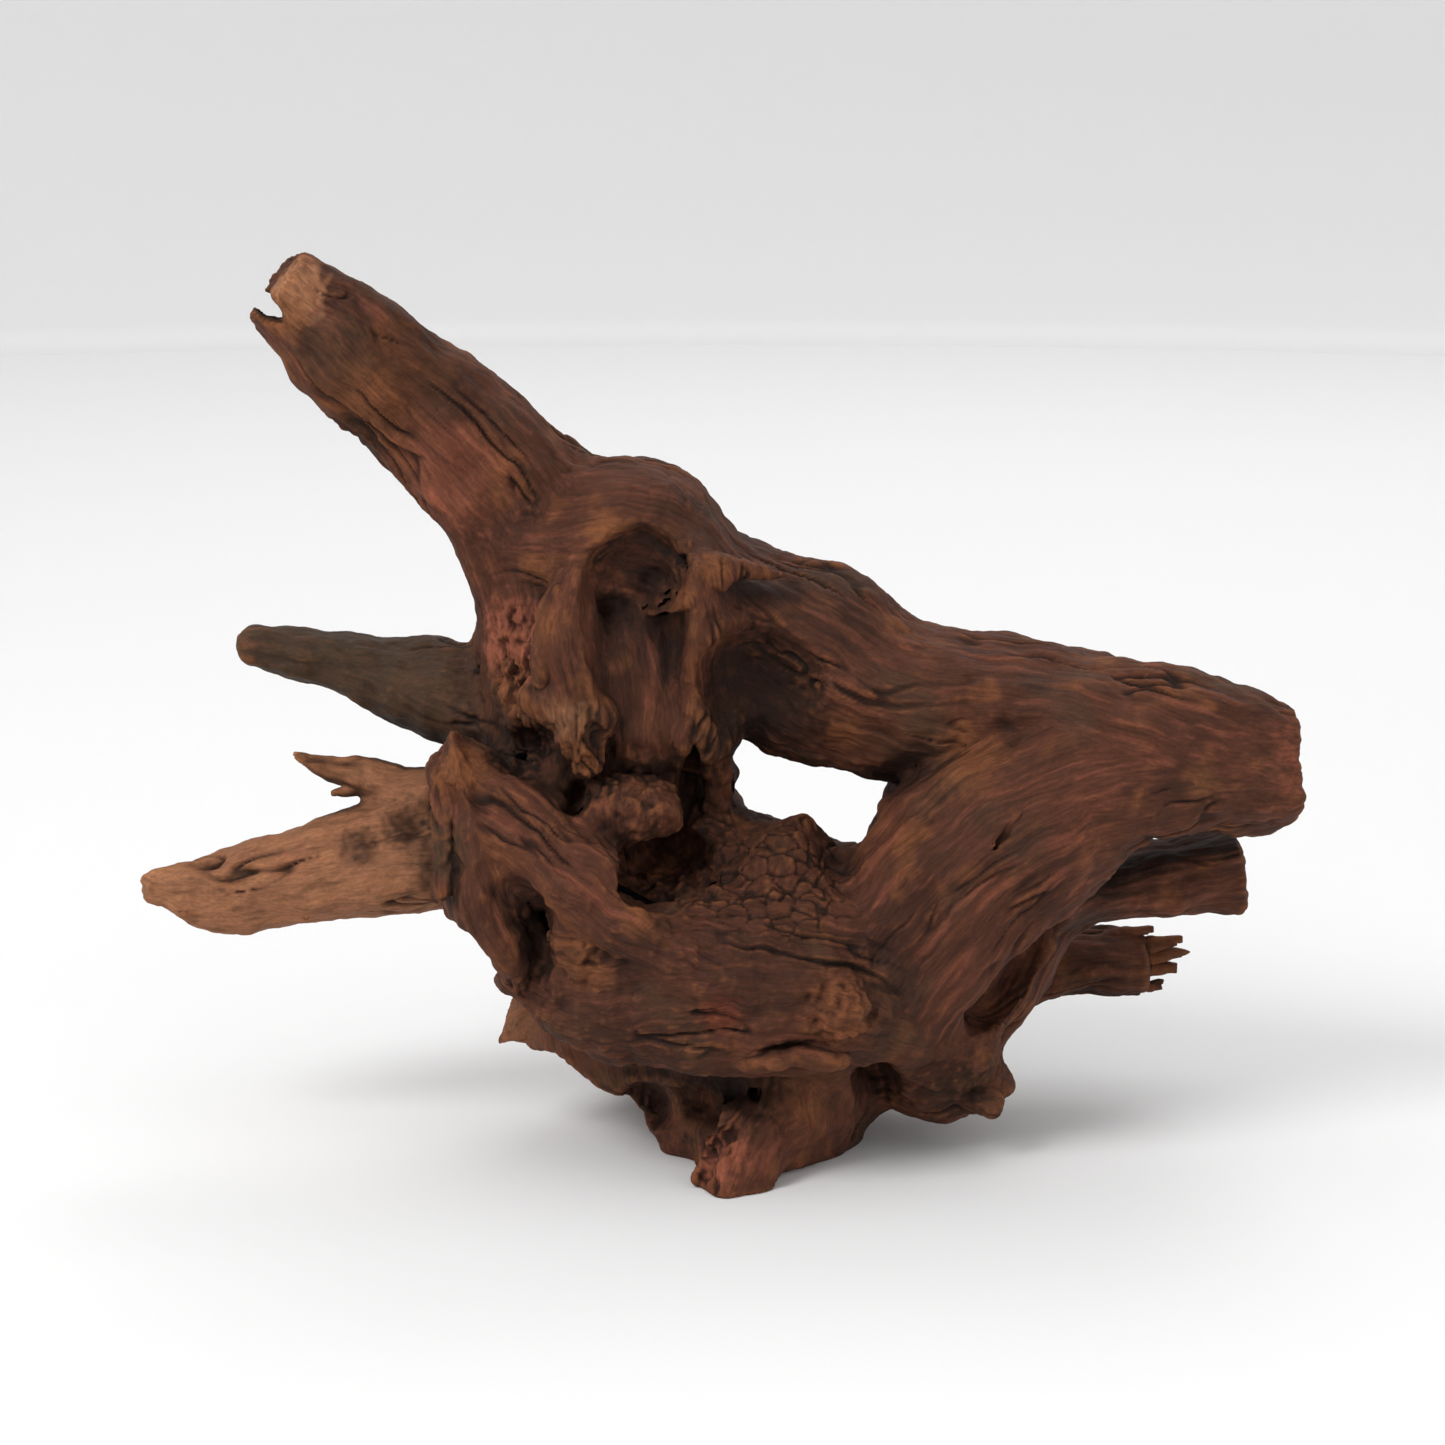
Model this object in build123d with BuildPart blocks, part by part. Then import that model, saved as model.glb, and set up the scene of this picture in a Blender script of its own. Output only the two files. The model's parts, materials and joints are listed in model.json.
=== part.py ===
from build123d import *
import os

# Driftwood stump with a swim-through arch, to stand in a pond or an aquarium.
# The stump is made up as the trade makes up large pieces: weathered hardwood roots are
# scribed to each other, drilled, and held by glued hardwood dowels and a few stainless screws.
#
# Frame: millimetres, +Z up, the stump rests on Z = 0, its front faces -Y and its long
# arm points along +X. The origin is under the middle of the whole piece.
#
# Every root is lofted through oval sections. One section is a row of
# (x, y, z, half_width, half_depth): its centre, its half size across the front view,
# and its half size from front to back.

# --- Fasteners -------------------------------------------------------------------------
DOWEL_DIAMETER = 8.0        # oak dowels, glued line to line in their holes
DOWEL_LENGTH = 30.0
PIN_DIAMETER = 3.0          # bamboo pins for the thin roots
PIN_LENGTH = 16.0
END_ROOM = 1.0              # glue room past each end of a dowel or pin
END_CHAMFER = 0.4           # share of the radius taken off each end
SCREW_DIAMETER = 5.0        # stainless countersunk screws, 5 x 60
SCREW_LENGTH = 60.0
SCREW_HEAD = 9.6
SCREW_HEAD_HEIGHT = 3.0
SCREW_POINT = 7.0           # length of the tapered point
SCREW_TIP = 0.3             # radius left at the point
SCREW_SOCKET = 3.0          # side of the square drive socket
SCREW_SOCKET_DEPTH = 2.0
POCKET_DIAMETER = 11.0      # the pocket that sinks a screw's head below the bark
POCKET_LENGTH = 36.0        # long enough to come out of any root

# --- Hollows ---------------------------------------------------------------------------
PIT_CENTRE = (-21, -50, 113)
PIT_RADII = (17, 34, 15)
PIT_TILT = 8                # degrees that the pit leans down to the back
BELLY_HOLLOW_CENTRE = (-27, -62, 19)
BELLY_HOLLOW_RADII = (15, 34, 13)
ROT_HOLLOW_CENTRE = (-67, -52, 148)
ROT_HOLLOW_RADII = (9, 22, 9)
GALLERY_CENTRE = (11, -60, 31)
GALLERY_DIAMETER = 4.0      # an old beetle gallery in the front of the trunk
GALLERY_LENGTH = 24.0       # half of it is in the wood

# --- Trunk and body --------------------------------------------------------------------
STUMP_CORE = [
    (-48, 1, 178, 37, 38),
    (-44, 1, 156, 40, 44),
    (-41, 3, 130, 40, 48),
    (-36, 3, 105, 43, 50),
    (-21, -1, 82, 54, 52),
    (-8, -6, 56, 62, 50),
]
BASE_TRUNK = [
    (-2, -6, 70, 60, 50),
    (5, -7, 50, 58, 52),
    (11, -7, 22, 50, 52),
    (11, -5, 4, 42, 46),
    (11, -4, -8, 34, 42),
]
BELLY_ROOT = [
    (-66, -35, 70, 10, 20),
    (-45, -47, 67, 21, 28),
    (-18, -55, 70, 28, 32),
    (13, -55, 70, 31, 34),
    (41, -47, 64, 28, 32),
    (62, -35, 54, 18, 24),
]

# --- Upper limbs -----------------------------------------------------------------------
UPPER_LEFT_LIMB = [
    (-149, -37, 306, 14, 14),
    (-127, -30, 286, 20, 19),
    (-90, -17, 251, 24, 24),
    (-63, -5, 214, 30, 31),
    (-52, -3, 165, 30, 36),
]
KNUCKLE_BURL = [
    (-53, -11, 216, 23, 30),
    (-26, -18, 217, 24, 34),
    (-3, -7, 198, 17, 28),
]
SHOULDER_ARCH = [
    (-29, 7, 187, 22, 28),
    (-8, 5, 191, 23, 33),
    (26, -3, 175, 34, 40),
    (60, -9, 160, 28, 35),
    (81, -9, 157, 22, 31),
]
RIGHT_ARM = [
    (62, -9, 159, 21, 30),
    (108, -13, 157, 23, 32),
    (156, -21, 145, 28, 33),
    (192, -25, 140, 22, 27),
    (202, -25, 140, 17, 22),
]
UPRIGHT_FIN = [
    (-51, -47, 206, 5, 8),
    (-53, -49, 196, 9, 12),
    (-49, -44, 166, 10, 14),
]
RIDGE_FIN = [
    (-9, -47, 209, 4, 10),
    (-7, -43, 196, 8, 14),
    (-6, -35, 178, 11, 18),
    (-8, -27, 155, 12, 20),
]

# --- Roots round the arch --------------------------------------------------------------
FRONT_ROOT = [
    (43, -25, 48, 26, 38),
    (59, -31, 72, 32, 40),
    (96, -37, 114, 34, 34),
    (122, -35, 128, 30, 30),
    (150, -31, 133, 23, 25),
]
REAR_RIGHT_ROOT = [
    (79, 7, 152, 17, 22),
    (78, 17, 123, 19, 26),
    (70, 24, 86, 22, 28),
    (50, 22, 48, 25, 30),
]
CRACKED_LUMP = [
    (24, -15, 112, 11, 17),
    (22, -22, 101, 20, 28),
    (18, -37, 77, 24, 32),
]
LOWER_RIGHT_PRONG = [
    (90, -15, 88, 16, 26),
    (116, -9, 89, 13, 24),
    (142, -3, 90, 12, 20),
    (182, 3, 94, 15, 16),
]
RIM_ROOT = [
    (114, -11, 90, 13, 20),
    (113, -7, 72, 14, 22),
    (103, -10, 54, 14, 23),
    (88, -15, 42, 14, 24),
]
SPLINTERED_ROOT = [
    (60, 26, 38, 12, 20),
    (114, 37, 48, 13, 18),
    (166, 45, 49, 12, 11),
]
LOWER_RIGHT_BURL = [
    (44, -13, 32, 15, 28),
    (63, -17, 31, 15, 29),
    (80, -21, 27, 17, 26),
    (94, -23, 24, 12, 19),
    (101, -23, 21, 6, 12),
]

# --- Roots on the left -----------------------------------------------------------------
LEFT_LOOP_ROOT = [
    (-91, -31, 146, 4, 12),
    (-88, -37, 134, 8, 18),
    (-83, -46, 104, 15, 26),
    (-76, -45, 86, 14, 26),
]
DIAGONAL_ROOT = [
    (-84, -35, 132, 12, 20),
    (-66, -48, 121, 15, 24),
    (-28, -59, 94, 16, 28),
    (-6, -57, 84, 16, 28),
]
DARK_STUB_ROOT = [
    (-167, 13, 174, 6, 9),
    (-143, 14, 169, 10, 14),
    (-104, 15, 158, 17, 23),
    (-76, 13, 153, 20, 27),
]
LONG_LEFT_ROOT = [
    (-202, -20, 94, 5, 6),
    (-179, -15, 92, 12, 12),
    (-125, -7, 99, 19, 21),
    (-68, -5, 107, 23, 28),
]
FORKED_SPLINTER = [
    (-150, -1, 136, 1, 3),
    (-132, -2, 130, 5, 6),
    (-92, -5, 121, 9, 12),
]
LEFT_SHARD = [
    (-78, -11, 36, 1, 3),
    (-72, -11, 41, 6, 7),
    (-43, -11, 49, 12, 16),
]

# --- Feet and back ---------------------------------------------------------------------
FRONT_FOOT_ROOT = [
    (26, -22, 24, 14, 18),
    (16, -39, 19, 15, 24),
    (8, -55, 9, 14, 22),
    (3, -66, -5, 13, 18),
]
REAR_FOOT_ROOT = [
    (-8, 27, 38, 26, 30),
    (-12, 47, 14, 22, 28),
    (-19, 73, -18, 14, 20),
]
REAR_BRACE_ROOT = [
    (-30, 27, 154, 22, 28),
    (-23, 45, 121, 21, 28),
    (-12, 53, 89, 22, 28),
    (3, 40, 40, 24, 30),
]

# --- Where the fasteners go: centre (x, y, z), then direction --------------------------
DOWELS = [
    ((23, 16, 67), (-0.44, 0.17, 0.88)),        # trunk to core
    ((-27, -6, 47), (-0.44, 0.17, 0.88)),
    ((-9, -13, 173), (-0.91, 0.3, -0.29)),      # shoulder to core
    ((-54, -14, 177), (0.18, 0, -0.98)),        # upper left limb to core
    ((-54, 14, 177), (0.18, 0, -0.98)),
    ((-31, 1, 196), (0.98, -0.09, 0.19)),       # upper left limb to shoulder
    ((81, -21, 159), (-0.99, 0, 0.14)),         # right arm to shoulder
    ((81, 3, 159), (-0.99, 0, 0.14)),
    ((116, -33, 134), (0.4, 0.43, 0.81)),       # front root to arm, trunk and core
    ((51, -36, 63), (-0.77, 0.6, -0.21)),
    ((42, -24, 92), (-0.8, 0.44, -0.4)),
    ((-8, -15, 209), (0.18, 0.4, -0.9)),        # knuckle to shoulder and limb
    ((-39, -26, 215), (-0.67, 0.68, -0.31)),
    ((-20, 50, 112), (-0.35, -0.92, -0.16)),    # rear brace to core and trunk
    ((-1, 44, 51), (0.11, -0.99, -0.06)),
    ((74, 5, 82), (-0.23, -0.97, -0.11)),       # rear right root to its three hosts
    ((50, 24, 63), (-0.76, -0.64, -0.15)),
    ((70, 12, 140), (-0.12, -0.53, 0.84)),
    ((-45, -47, 68), (0.51, 0.86, 0.05)),       # belly root to core, front root and trunk
    ((6, -49, 93), (-0.24, 0.87, -0.44)),
    ((35, -58, 73), (0.79, 0.57, -0.24)),
    ((-14, -54, 50), (0.38, 0.92, -0.03)),
    ((-54, -42, 104), (0.55, 0.83, 0.03)),      # diagonal root to core
    ((22, -28, 106), (-0.42, 0.41, -0.81)),     # cracked lump to core
    ((-78, -6, 107), (0.98, 0.15, 0.12)),       # long left root to core
    ((-83, 12, 152), (0.97, -0.23, 0.06)),      # dark stub to core
    ((0, 43, 13), (0.39, -0.87, 0.29)),         # rear foot to trunk and brace
    ((-5, 52, 34), (-0.28, 0.25, 0.93)),
    ((57, -26, 28), (-0.93, 0.32, 0.17)),       # lower right burl to trunk
    ((70, 28, 40), (-0.95, -0.25, -0.15)),      # splintered root to rear right root
]
PINS = [
    ((-82, -51, 116), (0.7, 0.16, 0.69)),       # left loop to diagonal root
    ((1, -56, 13), (0.18, 0.92, 0.36)),         # front foot to trunk
    ((107, -17, 84), (-0.69, -0.51, 0.51)),     # rim root to front root and burl
    ((94, -13, 37), (-0.62, -0.24, -0.74)),
    ((89, 6, 90), (-0.83, 0.51, 0.23)),         # lower right prong to rear right root
    ((-5, -29, 174), (0.65, 0.65, 0.38)),       # ridge fin to shoulder
    ((-56, -37, 182), (0.13, 0.99, -0.07)),     # upright fin to upper left limb
    ((-105, -5.5, 123), (0.2, 0, -0.98)),       # forked splinter to long left root
    ((-64, -11, 46), (0.97, 0.11, 0.23)),       # left shard to core
]
SCREWS = [                                      # centre of the head, then the way it drives
    ((-17, 72, 92), (-0.1, -1, 0)),             # rear brace to core
    ((-27, 64, 134), (-0.1, -1, 0)),
    ((-18, 72, 22), (0.2, -0.98, 0)),           # rear foot to trunk
    ((76, 44, 102), (-0.1, -1, 0)),             # rear right root to front root
    ((20, -8, 20), (0, 0, 1)),                  # up through the trunk into the core
    ((-14, 6, 12), (0, 0, 1)),
]

# Roots in the order they are fitted: each is scribed to the ones before it
FITTING_ORDER = {
    "stump_core": STUMP_CORE,
    "base_trunk": BASE_TRUNK,
    "shoulder_arch": SHOULDER_ARCH,
    "upper_left_limb": UPPER_LEFT_LIMB,
    "right_arm": RIGHT_ARM,
    "front_root": FRONT_ROOT,
    "knuckle_burl": KNUCKLE_BURL,
    "rear_brace_root": REAR_BRACE_ROOT,
    "rear_right_root": REAR_RIGHT_ROOT,
    "belly_root": BELLY_ROOT,
    "diagonal_root": DIAGONAL_ROOT,
    "cracked_lump": CRACKED_LUMP,
    "left_loop_root": LEFT_LOOP_ROOT,
    "long_left_root": LONG_LEFT_ROOT,
    "dark_stub_root": DARK_STUB_ROOT,
    "front_foot_root": FRONT_FOOT_ROOT,
    "rear_foot_root": REAR_FOOT_ROOT,
    "lower_right_burl": LOWER_RIGHT_BURL,
    "rim_root": RIM_ROOT,
    "lower_right_prong": LOWER_RIGHT_PRONG,
    "splintered_root": SPLINTERED_ROOT,
    "ridge_fin": RIDGE_FIN,
    "upright_fin": UPRIGHT_FIN,
    "forked_splinter": FORKED_SPLINTER,
    "left_shard": LEFT_SHARD,
}


def section_planes(sections):
    """Planes square to the run of a root, their Y as near front-to-back as it can be."""
    centres = [Vector(x, y, z) for x, y, z, _, _ in sections]
    planes = []
    for index, centre in enumerate(centres):
        before = centres[max(index - 1, 0)]
        after = centres[min(index + 1, len(centres) - 1)]
        run = (after - before).normalized()
        across = run.cross(Vector(0, 1, 0)).normalized()
        planes.append(Plane(origin=centre, x_dir=across, z_dir=run))
    return planes


def loft_root(sections):
    """A root before it is fitted, lofted through its oval sections."""
    with BuildPart() as root:
        for plane, (_, _, _, half_width, half_depth) in zip(section_planes(sections), sections):
            with BuildSketch(plane):
                Ellipse(half_width, half_depth)
        loft()
    return root.part


def hollow(centre, radii, tilt=0.0):
    """An oval hollow to cut out of the roots; tilt leans its back end down."""
    with BuildPart() as void:
        Sphere(1.0)
        scale(by=radii)
    return Pos(*centre) * Rot(tilt, 0, 0) * void.part


def rod(place, diameter, length, chamfer_share=0.0):
    """A round rod centred on its place: a dowel, a pin, or the hole for one."""
    centre, direction = place
    radius = diameter / 2
    with BuildPart() as bar:
        with BuildSketch(Plane(origin=centre, z_dir=direction).offset(-length / 2)):
            Circle(radius)
        extrude(amount=length)
        if chamfer_share:
            chamfer(bar.edges().filter_by(GeomType.CIRCLE), chamfer_share * radius)
    return bar.part


def screw(place):
    """A countersunk screw: square socket, conical head, shank and tapered point."""
    head_centre, direction = place
    axis_plane = Plane(origin=head_centre, z_dir=direction)
    profile_plane = Plane(origin=head_centre, x_dir=axis_plane.x_dir, z_dir=-axis_plane.y_dir)
    shank = SCREW_DIAMETER / 2
    with BuildPart() as fastener:
        with BuildSketch(profile_plane):
            with BuildLine():
                Polyline(
                    (0, 0),
                    (SCREW_HEAD / 2, 0),
                    (shank, SCREW_HEAD_HEIGHT),
                    (shank, SCREW_LENGTH - SCREW_POINT),
                    (SCREW_TIP, SCREW_LENGTH),
                    (0, SCREW_LENGTH),
                    close=True,
                )
            make_face()
        revolve(axis=Axis(head_centre, direction))
        with BuildSketch(axis_plane):
            Rectangle(SCREW_SOCKET, SCREW_SOCKET)
        extrude(amount=SCREW_SOCKET_DEPTH, mode=Mode.SUBTRACT)
    return fastener.part


def screw_hole(place):
    """The room a screw takes, with the pocket that its head was driven in through."""
    head_centre, direction = place
    axis_plane = Plane(origin=head_centre, z_dir=direction)
    with BuildPart() as hole:
        with BuildSketch(axis_plane):
            Circle(POCKET_DIAMETER / 2)
        extrude(amount=-POCKET_LENGTH)
        with BuildSketch(axis_plane):
            Circle(SCREW_HEAD / 2)
        with BuildSketch(axis_plane.offset(SCREW_HEAD_HEIGHT)):
            Circle(SCREW_DIAMETER / 2)
        loft()
        with BuildSketch(axis_plane):
            Circle(SCREW_DIAMETER / 2)
        extrude(amount=SCREW_LENGTH)
    return hole.part


def clear_of(shape, other):
    """True when the boxes round two shapes stand apart, so that one can't cut the other."""
    a, b = shape.bounding_box(), other.bounding_box()
    lows = (b.min.X > a.max.X, b.min.Y > a.max.Y, b.min.Z > a.max.Z)
    highs = (a.min.X > b.max.X, a.min.Y > b.max.Y, a.min.Z > b.max.Z)
    return any(lows) or any(highs)


def scribe(sections, neighbours, voids):
    """One root, cut back where its neighbours stand and where hollows and holes run."""
    blank = loft_root(sections)
    with BuildPart() as root:
        add(blank)
        for other in neighbours + voids:
            if not clear_of(blank, other):
                add(other, mode=Mode.SUBTRACT)
        split(bisect_by=Plane.XY, keep=Keep.TOP)
    return root.part.solids().sort_by(SortBy.VOLUME)[-1]


def write(shape, name):
    shape.label = name
    export_step(shape, f"parts/{name}.step")


# --- Build -----------------------------------------------------------------------------
os.makedirs("parts", exist_ok=True)

voids = [
    hollow(PIT_CENTRE, PIT_RADII, PIT_TILT),
    hollow(BELLY_HOLLOW_CENTRE, BELLY_HOLLOW_RADII),
    hollow(ROT_HOLLOW_CENTRE, ROT_HOLLOW_RADII),
    rod((GALLERY_CENTRE, (0, 1, 0)), GALLERY_DIAMETER, GALLERY_LENGTH),
]
for place in DOWELS:
    voids.append(rod(place, DOWEL_DIAMETER, DOWEL_LENGTH + 2 * END_ROOM))
for place in PINS:
    voids.append(rod(place, PIN_DIAMETER, PIN_LENGTH + 2 * END_ROOM))
for place in SCREWS:
    voids.append(screw_hole(place))

fitted = {}
for name, sections in FITTING_ORDER.items():
    with BuildPart() as root:
        add(scribe(sections, list(fitted.values()), voids))
    fitted[name] = root.part
    write(root.part, name)

with BuildPart() as oak_dowels:
    for place in DOWELS:
        add(rod(place, DOWEL_DIAMETER, DOWEL_LENGTH, END_CHAMFER))
write(oak_dowels.part, "oak_dowels")

with BuildPart() as bamboo_pins:
    for place in PINS:
        add(rod(place, PIN_DIAMETER, PIN_LENGTH, END_CHAMFER))
write(bamboo_pins.part, "bamboo_pins")

with BuildPart() as steel_screws:
    for place in SCREWS:
        add(screw(place))
write(steel_screws.part, "steel_screws")
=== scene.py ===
import itertools
import json
import math

import bpy
import numpy as np
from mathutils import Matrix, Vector


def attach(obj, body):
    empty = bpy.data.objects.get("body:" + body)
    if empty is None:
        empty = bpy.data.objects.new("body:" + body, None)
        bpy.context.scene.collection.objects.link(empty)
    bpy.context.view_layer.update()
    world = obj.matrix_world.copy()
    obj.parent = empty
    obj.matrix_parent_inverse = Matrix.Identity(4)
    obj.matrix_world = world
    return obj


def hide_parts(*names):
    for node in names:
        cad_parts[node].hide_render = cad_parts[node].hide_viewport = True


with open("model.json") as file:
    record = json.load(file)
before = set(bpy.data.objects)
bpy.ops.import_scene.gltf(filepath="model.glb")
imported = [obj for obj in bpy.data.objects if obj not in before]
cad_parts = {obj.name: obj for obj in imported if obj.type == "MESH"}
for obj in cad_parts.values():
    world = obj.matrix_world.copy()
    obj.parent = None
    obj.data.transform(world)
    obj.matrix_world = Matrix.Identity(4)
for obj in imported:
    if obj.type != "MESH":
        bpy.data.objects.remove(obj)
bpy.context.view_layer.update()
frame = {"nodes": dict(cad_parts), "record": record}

# A weathered driftwood stump. The wood is sculpted as one distance field in millimetres:
# every root is a swept, fluted body, the bodies run into each other, hollows are cut, and
# the skin that comes out is grained, cracked, and parted into one piece for each root.

MM = 0.001                  # metres in a millimetre

# --- How finely the wood is sculpted ---
FINE_STEP = 0.9      # spacing of the sculpting grid
COARSE_CELLS = 4            # fine cells along one coarse cell
SPARE = 6.0                 # room left round the roots
REACH = 26.0                # how far off a root its field is worked out
BLEND = 3.6                 # how softly the roots run together
FAR = 60.0                  # stands for "nowhere near"
BATCH = 100000              # points measured at once
CORNERS = list(itertools.product((0, 1), repeat=3))     # of a cell of the grid

# --- Camera ---
CAMERA_TARGET = (0.0, -13.0, 151.0)         # in the stump's millimetres
CAMERA_ELEVATION = math.radians(12.0)
CAMERA_DISTANCE = 1300.0
CAMERA_LENS = 92.5          # focal length
SENSOR_WIDTH = 36.0


# --- Noise ---
RANDOM = np.random.default_rng(7)
TABLE = 256                 # entries in each table of random values
NOISE_GAIN = 1.6            # brings the noise to about -1..1
LAYER_SHIFT = 17.3          # keeps layers of noise apart


def random_directions(*shape):
    """Unit vectors."""
    vectors = RANDOM.normal(size=shape)
    return (vectors / np.linalg.norm(vectors, axis=-1, keepdims=True)).astype(np.float32)


SHUFFLE = np.tile(RANDOM.permutation(TABLE).astype(np.int32), 3)
SLOPES = random_directions(TABLE, 3)
THREE_WAYS = random_directions(TABLE, 3, 3)


def corners_round(points):
    """For each corner of the cells that hold the points: table entries, ways there, weights."""
    floor = np.floor(points)
    part = (points - floor).astype(np.float32)
    cell = floor.astype(np.int64) & (TABLE - 1)
    fade = part * part * part * (part * (part * 6 - 15) + 10)
    shares = (1 - fade, fade)
    for x in (0, 1):
        entry_x = SHUFFLE[cell[:, 0] + x]
        for y in (0, 1):
            entry_y = SHUFFLE[entry_x + cell[:, 1] + y]
            weight_y = shares[x][:, 0] * shares[y][:, 1]
            for z in (0, 1):
                entry = SHUFFLE[entry_y + cell[:, 2] + z]
                yield entry, part - np.float32((x, y, z)), weight_y * shares[z][:, 2]


def noise(points):
    """Smooth random values, about -1 to 1, that vary over a length of 1."""
    total = np.zeros(len(points), np.float32)
    for entry, way, weight in corners_round(points):
        total += np.einsum("ni,ni->n", SLOPES[entry], way) * weight
    return total * NOISE_GAIN


def wander(points):
    """A smooth random push in three directions, each about -1 to 1."""
    total = np.zeros((len(points), 3), np.float32)
    for entry, way, weight in corners_round(points):
        total += np.einsum("nij,nj->ni", THREE_WAYS[entry], way) * weight[:, None]
    return total * NOISE_GAIN


def layered(points, layers, gain=0.5):
    """Noise with finer and fainter noise on top."""
    total = noise(points)
    share = 1.0
    for layer in range(1, layers):
        share *= gain
        total = total + share * noise(points * 2.0**layer + LAYER_SHIFT * layer)
    return total


def scattered(points, jitter=0.85):
    """Distances to the nearest and second nearest of randomly scattered points."""
    floor = np.floor(points).astype(np.int64)
    part = points - floor
    nearest = np.full(len(points), np.inf)
    second = nearest.copy()
    for step in itertools.product((-1, 0, 1), repeat=3):
        cell = (floor + step) & (TABLE - 1)
        entry = SHUFFLE[SHUFFLE[SHUFFLE[cell[:, 0]] + cell[:, 1]] + cell[:, 2]]
        spot = 0.5 + 0.5 * jitter * SLOPES[entry] + step
        distance = np.linalg.norm(part - spot, axis=1)
        second = np.minimum(second, np.maximum(distance, nearest))
        nearest = np.minimum(nearest, distance)
    return nearest, second


def ramp(values, low, high):
    """0 below low, 1 above high, and a smooth step between."""
    t = np.clip((values - low) / (high - low), 0.0, 1.0)
    return t * t * (3 - 2 * t)


# --- Roots ---
class Root:
    """A root swept through its sections: rows of x, y, z, half width, half depth."""

    SAMPLE_STEP = 2.5
    # Flutes round the root: how many, how deep, and how they twist along it
    FLUTES = [(3, 1.0, 0.018), (5, 0.7, -0.03), (2, 0.5, 0.05)]

    def __init__(self, sections, lobes=0.05, start=0.9, end=0.9, cut_start=False):
        rows = np.array(sections, float)
        gaps = np.linalg.norm(np.diff(rows[:, :3], axis=0), axis=1)
        knots = np.concatenate([[0.0], np.cumsum(gaps)])
        self.length = knots[-1]
        count = max(int(self.length / self.SAMPLE_STEP), 4)
        self.run = np.linspace(0.0, self.length, count)
        self.spacing = self.run[1]
        rows = self._through(rows, knots, self.run)
        self.centre = rows[:, :3]
        self.half_width = rows[:, 3]
        self.half_depth = rows[:, 4]
        along = np.gradient(self.centre, axis=0)
        self.along = along / np.linalg.norm(along, axis=1, keepdims=True)
        across = np.cross(self.along, (0.0, 1.0, 0.0))
        self.across = across / np.linalg.norm(across, axis=1, keepdims=True)
        self.depthwise = np.cross(self.along, self.across)
        self.lobes = lobes
        self.phases = RANDOM.uniform(0, 2 * math.pi, 4)     # one more than there are flutes
        self.ends = (start, end)
        self.cut_start = cut_start
        self.extras = []
        widest = max(self.half_width.max(), self.half_depth.max())
        self.low = self.centre.min(axis=0) - widest
        self.high = self.centre.max(axis=0) + widest

    @staticmethod
    def _through(rows, knots, run):
        """A smooth curve through the rows."""
        slopes = np.gradient(rows, knots, axis=0)
        index = np.clip(np.searchsorted(knots, run, side="right") - 1, 0, len(knots) - 2)
        gap = (knots[index + 1] - knots[index])[:, None]
        t = (run - knots[index])[:, None] / gap
        return (
            (2 * t**3 - 3 * t**2 + 1) * rows[index]
            + (t**3 - 2 * t**2 + t) * gap * slopes[index]
            + (3 * t**2 - 2 * t**3) * rows[index + 1]
            + (t**3 - t**2) * gap * slopes[index + 1]
        )

    def measure(self, points):
        """Distance to the root's skin, and where along and across it each point is."""
        nearest = np.empty(len(points), np.int64)
        squares = (self.centre**2).sum(axis=1)
        for start in range(0, len(points), BATCH):
            part = points[start:start + BATCH]
            nearest[start:start + BATCH] = np.argmin(squares - 2 * part @ self.centre.T, axis=1)
        offset = points - self.centre[nearest]
        forward = (offset * self.along[nearest]).sum(axis=1)
        place = np.clip(self.run[nearest] + forward, 0.0, self.length)
        index = np.clip((place / self.spacing).astype(np.int64), 0, len(self.run) - 2)
        t = (place / self.spacing - index)[:, None]

        def between(values):
            share = t if values.ndim > 1 else t[:, 0]
            return values[index] * (1 - share) + values[index + 1] * share

        offset = points - between(self.centre)
        u = (offset * between(self.across)).sum(axis=1)
        v = (offset * between(self.depthwise)).sum(axis=1)
        over = (offset * between(self.along)).sum(axis=1)
        half_width, half_depth = between(self.half_width), between(self.half_depth)
        angle = np.arctan2(v / half_depth, u / half_width)
        flute = sum(
            depth * np.cos(count * angle + phase + place * twist)
            for (count, depth, twist), phase in zip(self.FLUTES, self.phases)
        )
        radial = np.hypot(u, v)
        unit = np.maximum(radial, 1e-6)
        radius = 1.0 / np.sqrt((u / unit / half_width) ** 2 + (v / unit / half_depth) ** 2 + 1e-12)
        radius = radius * (1 + self.lobes * flute)
        past_end = place > 0.5 * self.length
        roundness = np.where(past_end, self.ends[1], self.ends[0])
        distance = np.sqrt(radial**2 + (over / roundness) ** 2) - radius
        place = place + over
        if self.cut_start:
            distance = np.maximum(np.where(past_end, distance, radial - radius), -place)
        return distance, np.stack([place, u, v], axis=1)

    def axis_at(self, place):
        """Points of the centre line at these distances along it."""
        place = np.clip(place, 0.0, self.length)
        return np.stack([np.interp(place, self.run, self.centre[:, k]) for k in range(3)], axis=1)

    def grow(self, *bodies):
        """Adds splinters or lips to the root."""
        for body, low, high in bodies:
            self.extras.append(body)
            self.low = np.minimum(self.low, low)
            self.high = np.maximum(self.high, high)


def spike(start, end, start_radius, end_radius):
    """A tapered splinter between two points."""
    start, end = np.array(start, float), np.array(end, float)
    run = end - start

    def distance(points):
        offset = points - start
        t = np.clip(offset @ run / (run @ run), 0.0, 1.0)
        gap = np.linalg.norm(offset - t[:, None] * run, axis=1)
        return gap - (start_radius + t * (end_radius - start_radius))

    widest = max(start_radius, end_radius)
    return distance, np.minimum(start, end) - widest, np.maximum(start, end) + widest


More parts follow.
